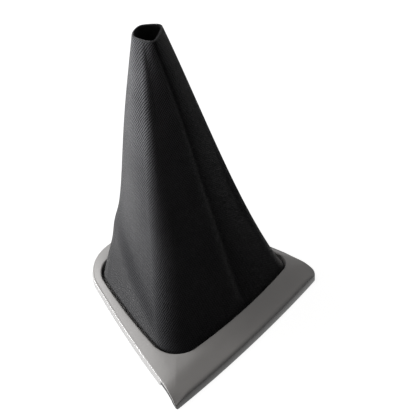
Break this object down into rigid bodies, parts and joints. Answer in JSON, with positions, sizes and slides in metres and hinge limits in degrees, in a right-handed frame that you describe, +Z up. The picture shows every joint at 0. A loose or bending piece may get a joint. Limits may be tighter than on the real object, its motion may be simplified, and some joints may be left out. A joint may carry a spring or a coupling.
{
  "type": "gear lever gaiter",
  "caption": "Soft tapering leather gear lever sleeve with an open top, held in a silver trapezoid trim frame with a rolled lip.",
  "frame": {"origin": "centre of the part's base, on the plane of the frame's lip", "axes": "+Z up through the sleeve, wide side of the frame with its lip towards -Y, narrow end towards +Y"},
  "size_m": [0.1341, 0.119, 0.185],
  "materials": {
    "silver_paint": "satin",
    "black_moulding": "matte",
    "black_leather": "fine embossed grain"
  },
  "bodies": {
    "root": {"trim_frame": "silver_paint", "clamping_ring": "black_moulding", "gaiter_sleeve": "black_leather"}
  },
  "joints": []
}
